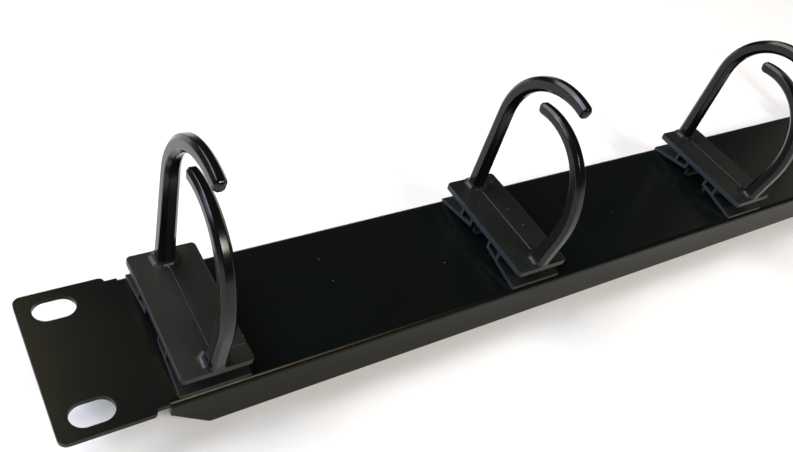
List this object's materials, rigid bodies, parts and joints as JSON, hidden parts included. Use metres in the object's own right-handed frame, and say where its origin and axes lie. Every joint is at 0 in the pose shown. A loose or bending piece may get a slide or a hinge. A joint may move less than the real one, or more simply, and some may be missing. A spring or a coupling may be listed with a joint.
{
  "type": "horizontal cable manager",
  "caption": "Rack-width folded steel panel with slotted ears and a row of open snap-in plastic rings that hold patch cables along it.",
  "frame": {"origin": "centre of the four rack slots, on the back face of the ears, which meets the rack's posts", "axes": "+X along the panel, +Y across it towards the side where the tall hooks stand, +Z out of the rack, the way the rings stand"},
  "size_m": [0.4826, 0.0442, 0.0729],
  "materials": {
    "panel_coating": "smooth black coating, low gloss",
    "ring_plastic": "glossy black moulded plastic"
  },
  "bodies": {
    "root": {"mounting_panel": "panel_coating", "cable_ring_1": "ring_plastic", "cable_ring_2": "ring_plastic", "cable_ring_3": "ring_plastic", "cable_ring_4": "ring_plastic", "cable_ring_5": "ring_plastic"}
  },
  "joints": []
}
